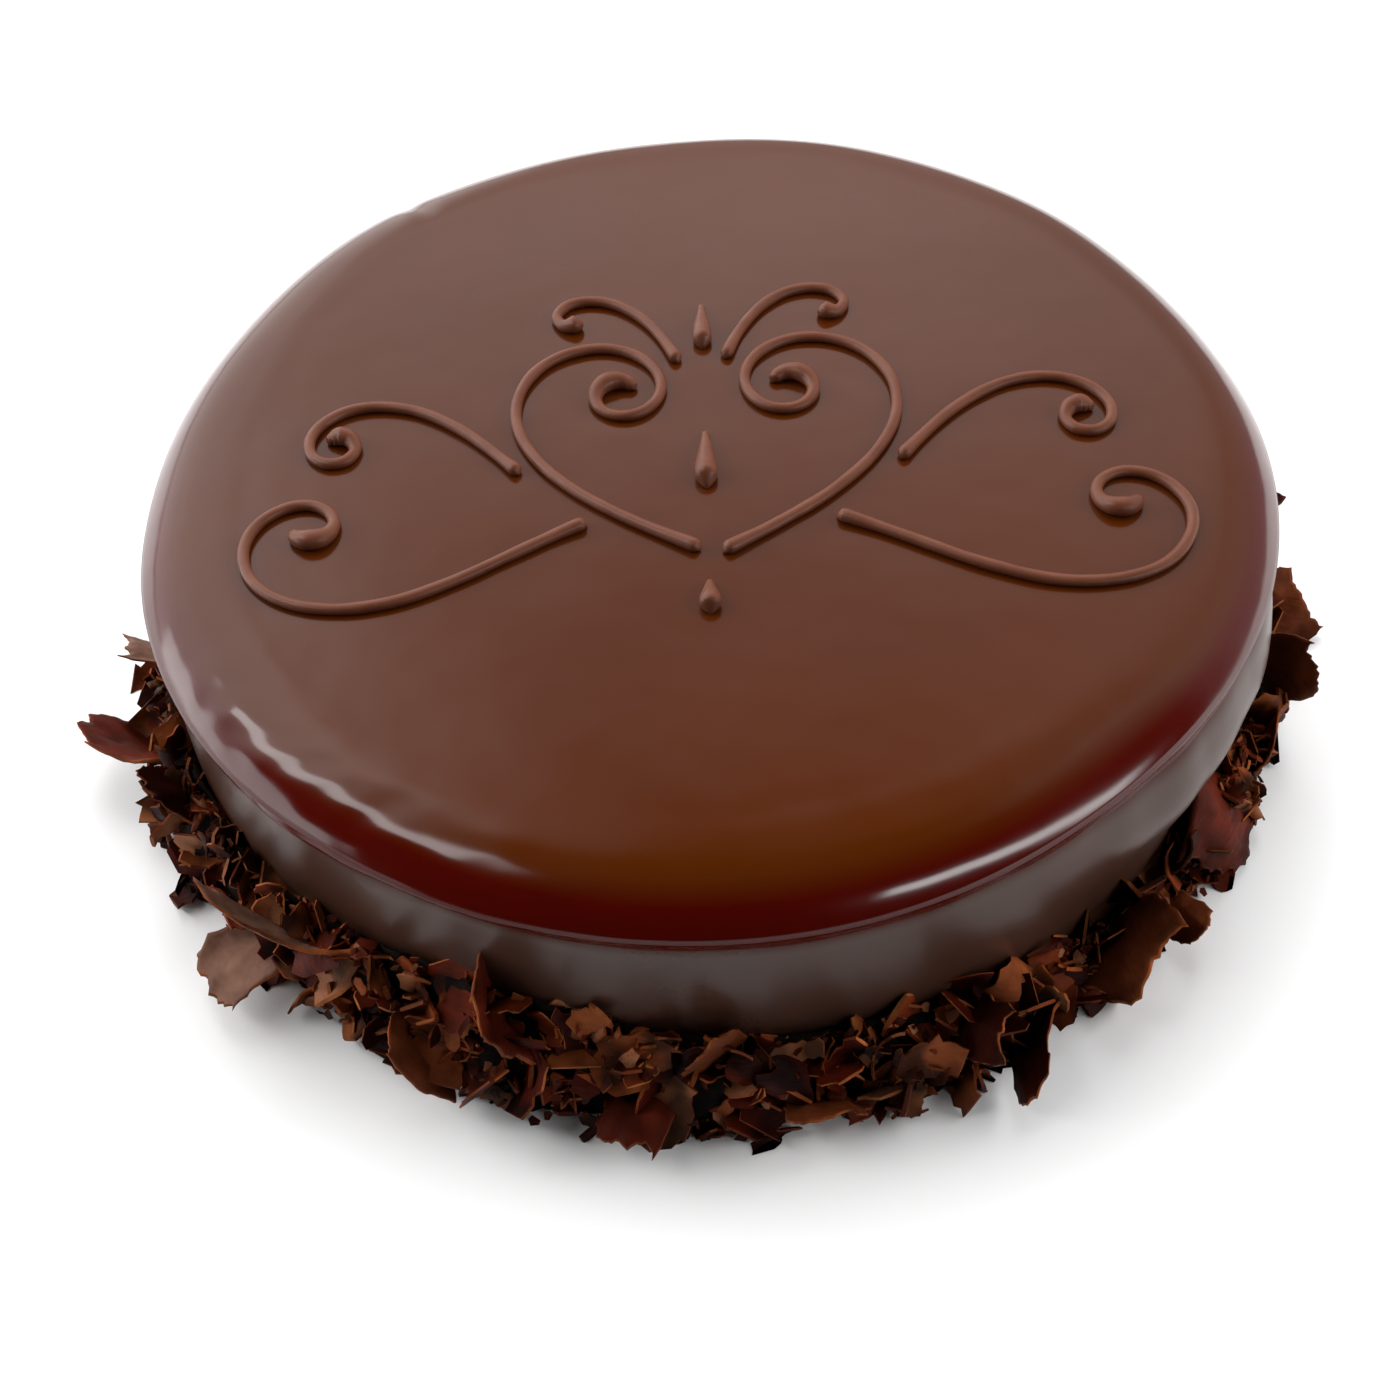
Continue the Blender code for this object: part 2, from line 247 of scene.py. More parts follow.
def ramp_node(nodes, links, source, *stops):
    """A colour ramp through (position, colour) stops."""
    node = nodes.new("ShaderNodeValToRGB")
    elements = node.color_ramp.elements
    while len(elements) < len(stops):
        elements.new(0.5)
    for element, (position, colour) in zip(elements, stops):
        element.position = position
        element.color = (*colour, 1)
    links.new(source, node.inputs["Fac"])
    return node.outputs["Color"]


def range_node(nodes, links, source, low, high, to_low, to_high):
    node = nodes.new("ShaderNodeMapRange")
    node.inputs["From Min"].default_value = low
    node.inputs["From Max"].default_value = high
    node.inputs["To Min"].default_value = to_low
    node.inputs["To Max"].default_value = to_high
    links.new(source, node.inputs["Value"])
    return node.outputs["Result"]


def mix_node(nodes, links, blend, factor, first, second):
    node = nodes.new("ShaderNodeMix")
    node.data_type = "RGBA"
    node.blend_type = blend
    if isinstance(factor, (int, float)):
        node.inputs["Factor"].default_value = factor
    else:
        links.new(factor, node.inputs["Factor"])
    for socket, value in ((node.inputs[6], first), (node.inputs[7], second)):
        if isinstance(value, tuple):
            socket.default_value = (*value, 1)
        else:
            links.new(value, socket)
    return node.outputs[2]


def bump_node(nodes, links, height, distance, strength=1, before=None):
    node = nodes.new("ShaderNodeBump")
    node.inputs["Distance"].default_value = distance
    node.inputs["Strength"].default_value = strength
    links.new(height, node.inputs["Height"])
    if before is not None:
        links.new(before, node.inputs["Normal"])
    return node.outputs["Normal"]


# The glaze's colour against height: dark red where it hangs at the rim, and greyer and paler down the side, a painted
# reflection of the pale floor
LIP_HEIGHT = CAKE_HEIGHT - RIM_FALL
GLAZE_COLOURS_AND_PAINTED_SHEEN = (
    (LIP_HEIGHT - 1.3 * LIP_FALL, (0.046, 0.0190, 0.0125)),
    (LIP_HEIGHT - 0.4 * LIP_FALL, (0.052, 0.0020, 0.0006)),
    (CAKE_HEIGHT - 3.6 * MM, (0.058, 0.0020, 0.0006)),
    (CAKE_HEIGHT - 0.9 * MM, (0.062, 0.0120, 0.0010)),
)
# How strongly the glaze mirrors against height: the underside of the rim hardly does, a painted shade that darkens a
# line under the rim
GLAZE_GLOSS_AND_RIM_SHADE = (
    (LIP_HEIGHT - 1.4 * LIP_FALL, 0.27),
    (LIP_HEIGHT - 0.9 * LIP_FALL, 0.10),
    (LIP_HEIGHT, 0.10),
    (LIP_HEIGHT + 1.0 * MM, 0.50),
)


def glaze_material():
    """Poured chocolate: almost black-brown and glossy, with faint clouds and flow marks."""
    material, nodes, links = new_material("chocolate_glaze")
    shader = nodes["Principled BSDF"]
    place = nodes.new("ShaderNodeTexCoord").outputs["Object"]
    height = nodes.new("ShaderNodeSeparateXYZ")
    links.new(place, height.inputs["Vector"])
    share = range_node(nodes, links, height.outputs["Z"], 0, CAKE_HEIGHT, 0, 1)
    # Base colour by height; the greyer, paler side is a painted reflection of the pale floor
    body = ramp_node(nodes, links, share, *((level / CAKE_HEIGHT, colour) for level, colour in GLAZE_COLOURS_AND_PAINTED_SHEEN))
    clouds = noise_node(nodes, links, place, 14, detail=3)
    shade = ramp_node(nodes, links, clouds, (0.3, (0.88, 0.88, 0.85)), (0.7, (1, 1, 1)))
    links.new(mix_node(nodes, links, "MULTIPLY", 1.0, body, shade), shader.inputs["Base Color"])
    # Painted shade: the mirroring is turned down under the rim to darken a line there
    gloss = ramp_node(nodes, links, share, *((level / CAKE_HEIGHT, (value,) * 3) for level, value in GLAZE_GLOSS_AND_RIM_SHADE))
    links.new(gloss, shader.inputs["Specular IOR Level"])
    # The side is less smooth than the top and the rim
    dullness = range_node(nodes, links, height.outputs["Z"], LIP_HEIGHT - LIP_FALL, LIP_HEIGHT, 0.16, 0)
    smears = noise_node(nodes, links, place, 45, detail=5)
    rough = nodes.new("ShaderNodeMath")
    links.new(range_node(nodes, links, smears, 0.3, 0.7, 0.11, 0.17), rough.inputs[0])
    links.new(dullness, rough.inputs[1])
    links.new(rough.outputs["Value"], shader.inputs["Roughness"])
    shader.inputs["IOR"].default_value = 1.5
    swell = noise_node(nodes, links, place, 35, detail=2)
    links.new(bump_node(nodes, links, swell, 0.25 * MM), shader.inputs["Normal"])
    return material


def piping_material():
    """Piped chocolate: lighter, satin, with a faint drawn grain."""
    material, nodes, links = new_material("piped_chocolate")
    shader = nodes["Principled BSDF"]
    place = nodes.new("ShaderNodeTexCoord").outputs["Object"]
    clouds = noise_node(nodes, links, place, 120, detail=4)
    colour = ramp_node(nodes, links, clouds, (0.3, (0.090, 0.026, 0.012)), (0.7, (0.125, 0.040, 0.020)))
    links.new(colour, shader.inputs["Base Color"])
    smears = noise_node(nodes, links, place, 300, detail=3)
    links.new(range_node(nodes, links, smears, 0.3, 0.7, 0.34, 0.48), shader.inputs["Roughness"])
    shader.inputs["IOR"].default_value = 1.45
    grain = noise_node(nodes, links, place, 1100, detail=3)
    links.new(bump_node(nodes, links, grain, 0.05 * MM), shader.inputs["Normal"])
    return material


BASE_SHADE = 9 * MM  # up to this height the flakes are painted darker towards the floor: painted shade at the heap's packed base


def flake_material(name, *tones, roughness=0.42, gloss=0.08, cluster_shade=0.0):
    """A flake's face: its tone varies from flake to flake and across each, with the knife's fine marks, and painted
    shade darkens it near the floor.

    The last argument says how much darker whole groups of pieces in the heap are painted than others, a painted shade
    for the deep shade between them.
    """
    material, nodes, links = new_material(name)
    shader = nodes["Principled BSDF"]
    place = nodes.new("ShaderNodeTexCoord").outputs["Object"]
    island = nodes.new("ShaderNodeNewGeometry").outputs["Random Per Island"]
    tone = ramp_node(nodes, links, island, *((i / (len(tones) - 1), tone) for i, tone in enumerate(tones)))
    clouds = noise_node(nodes, links, place, 160, detail=4)
    shade = ramp_node(nodes, links, clouds, (0.3, (0.55, 0.5, 0.48)), (0.72, (1.25, 1.3, 1.35)))
    # Painted shade: whole groups of pieces are darkened by a coarse noise
    grouped = noise_node(nodes, links, place, 85, detail=1)
    dark_end = (1 - cluster_shade,) * 3
    painted_cluster_shade = ramp_node(nodes, links, grouped, (0.40, dark_end), (0.54, (1, 1, 1)))
    # Painted shade: the flakes darken towards the floor
    height = nodes.new("ShaderNodeSeparateXYZ")
    links.new(place, height.inputs["Vector"])
    painted_base_shade = ramp_node(
        nodes, links, range_node(nodes, links, height.outputs["Z"], 0, BASE_SHADE, 0, 1), (0, (0.42, 0.36, 0.33)), (1, (1, 1, 1)),
    )
    colour = mix_node(nodes, links, "MULTIPLY", 1.0, tone, shade)
    colour = mix_node(nodes, links, "MULTIPLY", 1.0, colour, painted_cluster_shade)
    links.new(mix_node(nodes, links, "MULTIPLY", 1.0, colour, painted_base_shade), shader.inputs["Base Color"])
    smears = noise_node(nodes, links, place, 260, detail=3)
    links.new(range_node(nodes, links, smears, 0.3, 0.7, roughness, roughness + 0.22), shader.inputs["Roughness"])
    shader.inputs["IOR"].default_value = 1.45
    shader.inputs["Specular IOR Level"].default_value = gloss
    stretch = nodes.new("ShaderNodeMapping")
    stretch.inputs["Scale"].default_value = (1, 1, 6)
    links.new(place, stretch.inputs["Vector"])
    marks = noise_node(nodes, links, stretch.outputs["Vector"], 220, detail=4)
    links.new(bump_node(nodes, links, marks, 0.25 * MM), shader.inputs["Normal"])
    return material


# ---------------------------------------------------------------- glazed cake


def noise_over(points, scale, seed):
    """Smooth noise, about -1 to 1, at each point. Points are an array of rows of three."""
    shift = Vector((seed * 17.3, seed * 5.1, seed * 9.7))
    flat = points.reshape(-1, 3) * scale
    return np.array([noise.noise(Vector(p) + shift) for p in flat]).reshape(points.shape[:-1])


def glaze_sections():
    """Angle, radius and height of every point."""
    angle = np.linspace(0, TAU, GLAZE_AROUND, endpoint=False)[:, None]
    rim = rim_radius(angle)
    flat_end = rim - SHOULDER_WIDTH
    radii = [flat_end * share for share in np.linspace(0, 1, TOP_RINGS + 1)[1:]]
    radii += [flat_end + SHOULDER_WIDTH * step / SHOULDER_RINGS for step in range(1, SHOULDER_RINGS + 1)]
    heights = [glaze_height(radius, angle) for radius in radii]
    lip_height = heights[-1]
    for step in range(1, LIP_RINGS + 1):
        fall = step / LIP_RINGS
        radii.append(rim - LIP_DEPTH * (1 - math.cos(math.pi * fall)) / 2)
        heights.append(lip_height - LIP_FALL * fall)
    for step in range(1, WALL_RINGS + 1):
        radii.append(wall_radius(angle))
        heights.append((lip_height - LIP_FALL) * (1 - step / WALL_RINGS))
    return angle, np.hstack(radii), np.hstack(heights)


POOL_ANGLE = -33
POOL_BREADTH = 25
POOL_DEPTH = 5 * MM
POOL_HEIGHT = 37 * MM
POOL_REACH = 12 * MM


def glaze_relief(angle, radius, height):
    """How far the glaze stands in or out of its even form."""
    degrees = np.degrees(angle)
    degrees = (degrees + 180) % 360 - 180
    round_way = np.stack([np.cos(angle) * radius, np.sin(angle) * radius, height], axis=-1)
    level = CAKE_HEIGHT - height
    edge = np.clip((radius - (CAKE_RADIUS - 2 * RIM_FALL)) / RIM_FALL, 0, 1)
    shoulder = edge * np.clip(1.2 - level / (2.4 * RIM_FALL), 0, 1)
    wall = np.clip((level - RIM_FALL) / (0.8 * RIM_FALL), 0, 1) * (radius > CAKE_RADIUS - RIM_FALL)
    relief = 0.10 * MM * noise_over(round_way, 22, 1) * (1 - wall)
    relief += 0.55 * MM * shoulder * noise_over(round_way * (1, 1, 0), 26, 2)
    streaky = round_way * (1, 1, 0.12)
    relief += wall * (0.30 * MM * noise_over(streaky, 45, 3) + 0.07 * MM * noise_over(streaky, 190, 4))
    # On the right the glaze has pooled on the side and stands out, and there it ran down in thick streaks
    pooled = bump(degrees, POOL_ANGLE, POOL_BREADTH)
    relief += wall * POOL_DEPTH * pooled * bump(height, POOL_HEIGHT, POOL_REACH)
    relief += wall * 0.7 * MM * pooled * noise_over(streaky, 80, 6)
    # On the front left the skin of the glaze has slipped: a second fold under the rim, and wrinkles on the edge
    slipped = bump(degrees, -128, 24)
    fold_level = RIM_FALL + 4.5 * MM * (1 - (degrees + 160) / 60)
    relief += 0.75 * MM * bump(degrees, -130, 26) * bump(level, np.clip(fold_level, RIM_FALL, 99), 1.3 * MM) * edge
    wrinkled = round_way * (0.35, 1, 1.6)
    relief += 0.3 * MM * slipped * shoulder * noise_over(wrinkled, 190, 5)
    # A nick in the rim at the back left
    relief -= 0.45 * MM * bump(degrees, 128, 1.6) * edge
    return relief


def make_glaze(material):
    angle, radius, height = glaze_sections()
    relief = glaze_relief(angle + 0 * radius, radius, height)
    along_r = np.gradient(radius, axis=1)
    along_z = np.gradient(height, axis=1)
    length = np.hypot(along_r, along_z) + 1e-9
    radius = radius - relief * along_z / length
    height = height + relief * along_r / length
    height[:, -1] = 0
    height = np.maximum(height, 0)
    vertices = np.stack([radius * np.cos(angle), radius * np.sin(angle), height], axis=-1).reshape(-1, 3)
    rows = radius.shape[1]
    faces = grid_faces(rows, GLAZE_AROUND, True)
    middle = len(vertices)
    top = vertices.reshape(GLAZE_AROUND, rows, 3)[:, 0, 2].mean()
    vertices = np.vstack([vertices, [(0, 0, top), (0, 0, 0)]])
    for column in range(GLAZE_AROUND):
        beyond = (column + 1) % GLAZE_AROUND
        faces.append((middle, column * rows, beyond * rows))
        faces.append((middle + 1, beyond * rows + rows - 1, column * rows + rows - 1))
    glaze = mesh_object("poured_glaze", vertices, faces, [material])
    return dress(glaze, "chocolate_glaze", "glazed_cake")


# ---------------------------------------------------------------- piped scroll


def curvature_at(share, bends):
    for (low, first), (high, second) in zip(bends, bends[1:]):
        if share <= high:
            return first + (second - first) * (share - low) / (high - low)
    return bends[-1][1]


def stroke_points(start, heading, length, bends):
    count = round(length * MM / STEP_ALONG)
    shares = [1 - (1 - i / count) ** CROWDING for i in range(count + 1)]
    here = Vector((start[0] * MM, start[1] * MM))
    direction = math.radians(heading)
    points = [here.copy()]
    for before, after in zip(shares, shares[1:]):
        step = (after - before) * length * MM
        turn = curvature_at((before + after) / 2, bends) * step
        direction += turn / 2
        here += Vector((math.cos(direction), math.sin(direction))) * step
        direction += turn / 2
        points.append(here.copy())
    return points, shares


def line_swell(share):
    return 1 + START_SWELL * bump(share, 0, START_REACH) + BEAD_SWELL * bump(share, BEAD_MIDDLE, BEAD_REACH)


def drop_swell(share):
    return DROP_TIP + (1 - DROP_TIP) * math.sin(math.pi * share**DROP_FATNESS) * (1 - DROP_TAPER * share)


def left_half(point):
    turned = Matrix.Rotation(LEFT_TURN, 2) @ (point * LEFT_SIZE)
    return Vector((-turned.x, turned.y))


def smooth_path(values, steps):
    """A Catmull-Rom curve through rows of numbers, with steps points to each stretch."""
    values = np.asarray(values, float)
    padded = np.vstack([2 * values[0] - values[1], values, 2 * values[-1] - values[-2]])
    path = []
    for before, first, second, after in zip(padded, padded[1:], padded[2:], padded[3:]):
        for step in range(steps):
            t = step / steps
            path.append(
                0.5
                * (
                    2 * first
                    + (second - before) * t
                    + (2 * before - 5 * first + 4 * second - after) * t**2
                    + (3 * first - before - 3 * second + after) * t**3
                )
            )
    path.append(values[-1])
    return np.array(path)


def make_pipe(name, points, radii, material, node, seed):
    """A piped line: a round thread, a little flattened, that has settled on the glaze, with rounded ends."""
    rows = smooth_path([(p.x, p.y, r) for p, r in zip(points, radii)], PIPE_STEPS)
    along = np.concatenate([[0], np.cumsum(np.hypot(*np.diff(rows[:, :2], axis=0).T))])
    rows_at = [Vector((s * 160, seed * 3.7, 0)) for s in along]
    pulse = np.array([noise.noise(p) for p in rows_at])
    drift = np.array([noise.noise(p * 0.6 + Vector((0, 50, 0))) for p in rows_at])
    flow = np.gradient(rows[:, :2], axis=0)
    flow /= np.linalg.norm(flow, axis=1)[:, None] + 1e-12
    side = np.stack([-flow[:, 1], flow[:, 0]], axis=1)
    middle = rows[:, :2] + side * (0.16 * MM * drift)[:, None]
    radius = rows[:, 2] * (1 + 0.07 * pulse)
    # The ends are rounded off over one radius
    for distance in (along, along[-1] - along):
        near = np.clip(distance / (1.1 * radius), 0.02, 1)
        radius = radius * np.sqrt(1 - (1 - near) ** 2)
    full = rows[:, 2]
    base = glaze_height(np.hypot(middle[:, 0], middle[:, 1]), np.arctan2(middle[:, 1], middle[:, 0]))
    centre = base + np.minimum(full, 1.15 * radius + 0.25 * full) * (1 - PIPE_SETTLED)
    turns = TAU * (np.arange(PIPE_SIDES) + 0.5) / PIPE_SIDES
    across = radius[:, None] * np.cos(turns)
    up = radius[:, None] * np.sin(turns) * 0.94
    x = middle[:, 0, None] + side[:, 0, None] * across
    y = middle[:, 1, None] + side[:, 1, None] * across
    z = centre[:, None] + up
    vertices = np.stack([x, y, z], axis=-1)
    vertices = vertices.reshape(-1, 3)
    faces = []
    for ring in range(len(rows) - 1):
        for i in range(PIPE_SIDES):
            j = (i + 1) % PIPE_SIDES
            a, b = ring * PIPE_SIDES, (ring + 1) * PIPE_SIDES
            faces.append((a + j, b + j, b + i, a + i))
    faces.append(tuple(reversed(range(PIPE_SIDES))))
    faces.append(tuple(range(len(vertices) - PIPE_SIDES, len(vertices))))
    return dress(mesh_object(name, vertices, faces, [material]), "piped_chocolate", node)


def make_scroll(material):
    for number, (stroke, facts) in enumerate(STROKES.items()):
        points, shares = stroke_points(*facts)
        radii = [LINE_RADIUS * line_swell(share) for share in shares]
        make_pipe(f"piped_{stroke}_right", points, radii, material, f"{stroke}_right", number)
        mirrored = [left_half(point) for point in points]
        make_pipe(f"piped_{stroke}_left", mirrored, radii, material, f"{stroke}_left", number + 20)
    for number, (drop, (middle, length, radius)) in enumerate(DROPS.items()):
        shares = [i / DROP_STEPS for i in range(DROP_STEPS + 1)]
        points = [Vector((0, (middle + (share - 0.5) * length) * MM)) for share in shares]
        radii = [radius * MM * drop_swell(share) for share in shares]
        make_pipe(f"piped_{drop}", points, radii, material, drop, number + 40)


# ---------------------------------------------------------------- large flakes


def flake_facts(rng, name, tier, number):
    facts = {fact: rng.uniform(*limits) for fact, limits in FLAKE_LIMITS.items()}
    stagger = 0.5 if tier is TIERS[1] else 0
    facts["angle"] = 360 * (number + stagger) / FLAKES_PER_TIER + facts["drift"]
    facts["height"] = tier["level"] * coat_height(math.radians(facts["angle"])) + facts["climb"]
    facts["lean"] = rng.uniform(*tier["lean"])
    facts.update(LANDMARKS.get(name, {}))
    return facts


def flake_point(facts, across, along, side):
    span = facts["span"]
    width = span * facts["slimness"]
    taper = 1 + (facts["pinch"] - 1) * along + facts["bulge"] * math.sin(math.pi * along)
    x = width * ((across - 0.5) * taper + facts["slant"] * along)
    y = span * along * (1 + facts["shear"] * (across - 0.5) + facts["arch"] * math.sin(math.pi * across))
    bend = facts["curl"] * y**2 / 2 + facts["cup"] * x**2 / 2 + facts["twist"] * x * y
    thinning = 1 - FLAKE_THINNING * along - SIDE_THINNING * abs(2 * across - 1)
    return Vector((x, y, bend + side * 0.5 * facts["thickness"] * thinning))


def flake_place(facts):
    angle = math.radians(facts["angle"])
    height = facts["height"]
    down = max(0, 1 - height / coat_height(angle))
    root = wall_radius(angle) + coat_thickness(angle, down)
    heading = angle - math.pi / 2 + math.radians(facts["skew"])
    place = Matrix.Translation((root * math.cos(angle), root * math.sin(angle), height))
    place @= Matrix.Rotation(heading, 4, "Z")
    place @= Matrix.Rotation(math.radians(facts["lean"]), 4, "X")
    place @= Matrix.Rotation(math.radians(facts["roll"]), 4, "Y")
    return place @ Matrix.Translation((0, -FLAKE_SUNK, 0))


def floor_lift(facts, place):
    """How far the solid flake was raised to clear the floor."""
    corners = [
        place @ flake_point(facts, i / FLAKE_COLUMNS, j / FLAKE_ROWS, side)
        for i in range(FLAKE_COLUMNS + 1)
        for j in range(FLAKE_ROWS + 1)
        for side in (-1, 1)
    ]
    return Matrix.Translation((0, 0, max(0, GAP - min(corner.z for corner in corners))))


def inside_room(point, room):
    """The point, moved into the box that the solids fill."""
    low, high = room
    return Vector(min(max(value, low[axis] + TIGHT), high[axis] - TIGHT) for axis, value in enumerate(point))


def torn_edge(seed, across, along):
    """Where a torn flake's grid point moves to, so that its border is broken and uneven."""
    side_way = 2 * across - 1
    side_seed = seed + 30 * np.sign(side_way)
    reach = 0.20 * abs(noise.noise(Vector((across * 2.3, seed, 0))))
    reach += 0.08 * abs(noise.noise(Vector((across * 7, seed, 5))))
    breadth = 0.30 * abs(noise.noise(Vector((along * 2.4, side_seed, 9))))
    breadth += 0.10 * abs(noise.noise(Vector((along * 6, side_seed, 2))))
    return 0.5 + 0.5 * side_way * (1 - breadth * side_way**2), along * (1 - reach * along)


def plate_faces(columns, rows):
    """Faces and material numbers of a closed plate: one grid for its back, one for its front, and its border."""
    faces = grid_faces(rows + 1, columns + 1, False)
    half = (rows + 1) * (columns + 1)
    faces += [tuple(vertex + half for vertex in reversed(face)) for face in faces]
    border = [i * (rows + 1) for i in range(columns)]
    border += [columns * (rows + 1) + j for j in range(rows)]
    border += [i * (rows + 1) + rows for i in range(columns, 0, -1)]
    border += list(range(rows, 0, -1))
    rim = [(a, b, b + half, a + half) for a, b in zip(border, border[1:] + border[:1])]
    return faces + rim, [0] * len(faces) + [1] * len(rim)


def torn_flake(name, facts, seed, materials, node, room):
    """A large flake at full detail: the solid's bent plate with a torn border, ripples and thin edges."""
    place = flake_place(facts)
    place = floor_lift(facts, place) @ place
    vertices = []
    for side in (-1, 1):
        for i in range(TORN_COLUMNS + 1):
            for j in range(TORN_ROWS + 1):
                across, along = torn_edge(seed, i / TORN_COLUMNS, j / TORN_ROWS)
                point = flake_point(facts, across, along, side)
                ripple = 0.6 * noise.noise(Vector((point.x * 150, point.y * 90, seed)))
                ripple += 0.25 * noise.noise(Vector((point.x * 380, point.y * 380, seed + 7)))
                crease = abs(noise.noise(Vector((point.x * 110, point.y * 70, seed + 3))))
                point.z += MM * (ripple - 2.2 * crease)
                vertices.append(inside_room(place @ point, room))
    faces, material_of = plate_faces(TORN_COLUMNS, TORN_ROWS)
    return dress(mesh_object(name, vertices, faces, materials, material_of), "chocolate_flakes", node)


def make_large_flakes(faces_by_tone, edge_material, room):
    rng = random.Random(FLAKE_SEED)
    for tier_number, tier in enumerate(TIERS, 1):
        for number in range(FLAKES_PER_TIER):
            node = f"flake_{tier_number}_{number + 1:02d}"
            facts = flake_facts(rng, node, tier, number)
            tone = FLAKE_TONES.get(node, ("dark", "brown", "red", "brown")[(number * 5 + tier_number) % 4])
            materials = [faces_by_tone[tone], edge_material]
            torn_flake(f"torn_{node}", facts, number + 40 * tier_number, materials, node, room)


# ---------------------------------------------------------------- heap of smaller flakes

FLAKE_TONES = {
    "flake_1_10": "red",
    "flake_2_10": "grey",
    "flake_1_11": "red",
    "flake_1_12": "grey",
    "flake_2_12": "grey",
    "flake_2_17": "red",
    "flake_2_18": "brown",
}

# Shavings that curled off the knife, and flat pieces that broke: how many, limits of their length and of their
# width as a share of it, of their bend in radians and their thickness, and how far their middles may lie out of
# the heap's outline
CURLS = {
    "count": 520, "size": (8 * MM, 17 * MM), "slimness": (0.35, 0.8), "bend": (0.5, 3.6),
    "thickness": (0.6 * MM, 1.2 * MM), "depth": (-4.0 * MM, 0.5 * MM),
}
CURL_COLUMNS = 10
CURL_ROWS = 3
BROKEN_KINDS = {
    "broken_flakes": {
        "count": 620, "size": (5 * MM, 10 * MM), "corners": (5, 7), "side": 2, "bend": (-1.5, 1.5),
        "thickness": (0.5 * MM, 1.2 * MM), "depth": (-3.5 * MM, 0.8 * MM),
    },
    "flake_chips": {
        "count": 1300, "size": (2.2 * MM, 5 * MM), "corners": (4, 6), "side": 1, "bend": (-1.2, 1.2),
        "thickness": (0.35 * MM, 0.9 * MM), "depth": (-3 * MM, 0.3 * MM),
    },
}
CRUMB_COUNT = 900
CRUMB_SIZE = (0.6 * MM, 1.5 * MM)
CRUMB_DEPTH = (-3 * MM, -0.6 * MM)
CRUMB_STRETCH = (0.5, 1.2)
TUMBLE = 55  # spread in degrees of how far a piece lies out of the heap's own slope
CLUMPING = 2.6 * MM  # how far the heap's clusters stand in and out


def heap_surface(angle, down):
    """A point of the heap's outline, and the way that it faces there. down is 0 at its upper edge, 1 at the base."""
    radius = float(wall_radius(angle) + GAP + coat_thickness(angle, down))
    height = float(coat_height(angle)) * (1 - down)
    outward = Vector((math.cos(angle), math.sin(angle), 0))
    slope = 0.25 + 0.5 * (1 - down)
    return outward * radius + Vector((0, 0, height)), (outward + Vector((0, 0, slope))).normalized()


def heap_place(rng, kind, angle):
    """Where one piece lies: a matrix that sets it down near the heap's outline and tumbles it."""
    down = rng.uniform(0, 1) if rng.random() < 0.8 else rng.uniform(0, 0.25)
    surface, facing = heap_surface(angle, down)
    clump = noise.noise(Vector((math.cos(angle), math.sin(angle), down * 0.3)) * 11)
    middle = surface + facing * (rng.uniform(*kind["depth"]) + CLUMPING * clump)
    middle.z = max(middle.z, 0.8 * MM)
    lie = facing.to_track_quat("Z", "X").to_matrix().to_4x4()
    spin = Matrix.Rotation(rng.uniform(0, TAU), 4, "Z")
    tilt = Matrix.Rotation(math.radians(rng.gauss(0, TUMBLE)), 4, "X")
    return Matrix.Translation(middle) @ lie @ spin @ tilt @ Matrix.Rotation(rng.uniform(0, TAU), 4, "Z")


def curl_plate(rng, kind):
    """Vertices, faces and material numbers of one curled shaving round the origin, rolled up along its own X."""
    length = kind["size"][0] + (kind["size"][1] - kind["size"][0]) * rng.random() ** 1.5
    width = length * rng.uniform(*kind["slimness"])
    thickness = rng.uniform(*kind["thickness"])
    bend = rng.uniform(*kind["bend"])
    tightening = rng.uniform(-0.7, 0.7)
    shear = rng.uniform(-0.8, 0.8)
    seed = rng.uniform(0, 99)
    spine = []
    here = Vector((0, 0, 0))
    turn = -bend / 2
    for i in range(CURL_COLUMNS + 1):
        spine.append((here.copy(), Vector((-math.sin(turn), 0, math.cos(turn)))))
        bit = bend / CURL_COLUMNS * (1 + tightening * ((2 * i + 1) / CURL_COLUMNS - 1))
        turn += bit / 2
        here += Vector((math.cos(turn), 0, math.sin(turn))) * length / CURL_COLUMNS
        turn += bit / 2
    middle = sum((place for place, _ in spine), Vector()) / len(spine)
    vertices = []
    for side in (-1, 1):
        for i, (place, out) in enumerate(spine):
            share = i / CURL_COLUMNS
            narrowing = 1 - 0.25 * abs(2 * share - 1) ** 3
            for j in range(CURL_ROWS + 1):
                across = 2 * j / CURL_ROWS - 1
                torn = 1 + 0.8 * noise.noise(Vector((share * 5, across, seed)))
                aside = 0.5 * width * across * narrowing * torn + shear * (share - 0.5) * width
                thick = thickness * (1 - 0.35 * abs(across) - 0.3 * share)
                vertices.append(place - middle + out * side * thick / 2 + Vector((0, aside, 0)))
    return vertices, *plate_faces(CURL_COLUMNS, CURL_ROWS)


def chip_outline(rng, corners, side):
    """A broken plate's border: straight-ish sides between uneven corners, as (x, y) about its middle."""
    turns = [TAU * (i + rng.uniform(-0.32, 0.32)) / corners for i in range(corners)]
    slim = rng.uniform(0.45, 1)
    reaches = [rng.uniform(0.62, 1) for _ in turns]
    points = [Vector((r * math.cos(t), r * slim * math.sin(t))) for r, t in zip(reaches, turns)]
    outline = []
    for here, beyond in zip(points, points[1:] + points[:1]):
        for step in range(side):
            share = (step + rng.uniform(-0.18, 0.18) * (step > 0)) / side
            point = here.lerp(beyond, share)
            outline.append(point * (1 + rng.uniform(-0.1, 0.12) * (step > 0)))
    return outline


def curled(point, curvature):
    """The point of a flat plate after it is rolled about its own Y axis."""
    if abs(curvature) < 1e-6:
        return point
    reach = 1 / curvature - point.z
    turn = point.x * curvature
    return Vector((reach * math.sin(turn), point.y, 1 / curvature - reach * math.cos(turn)))


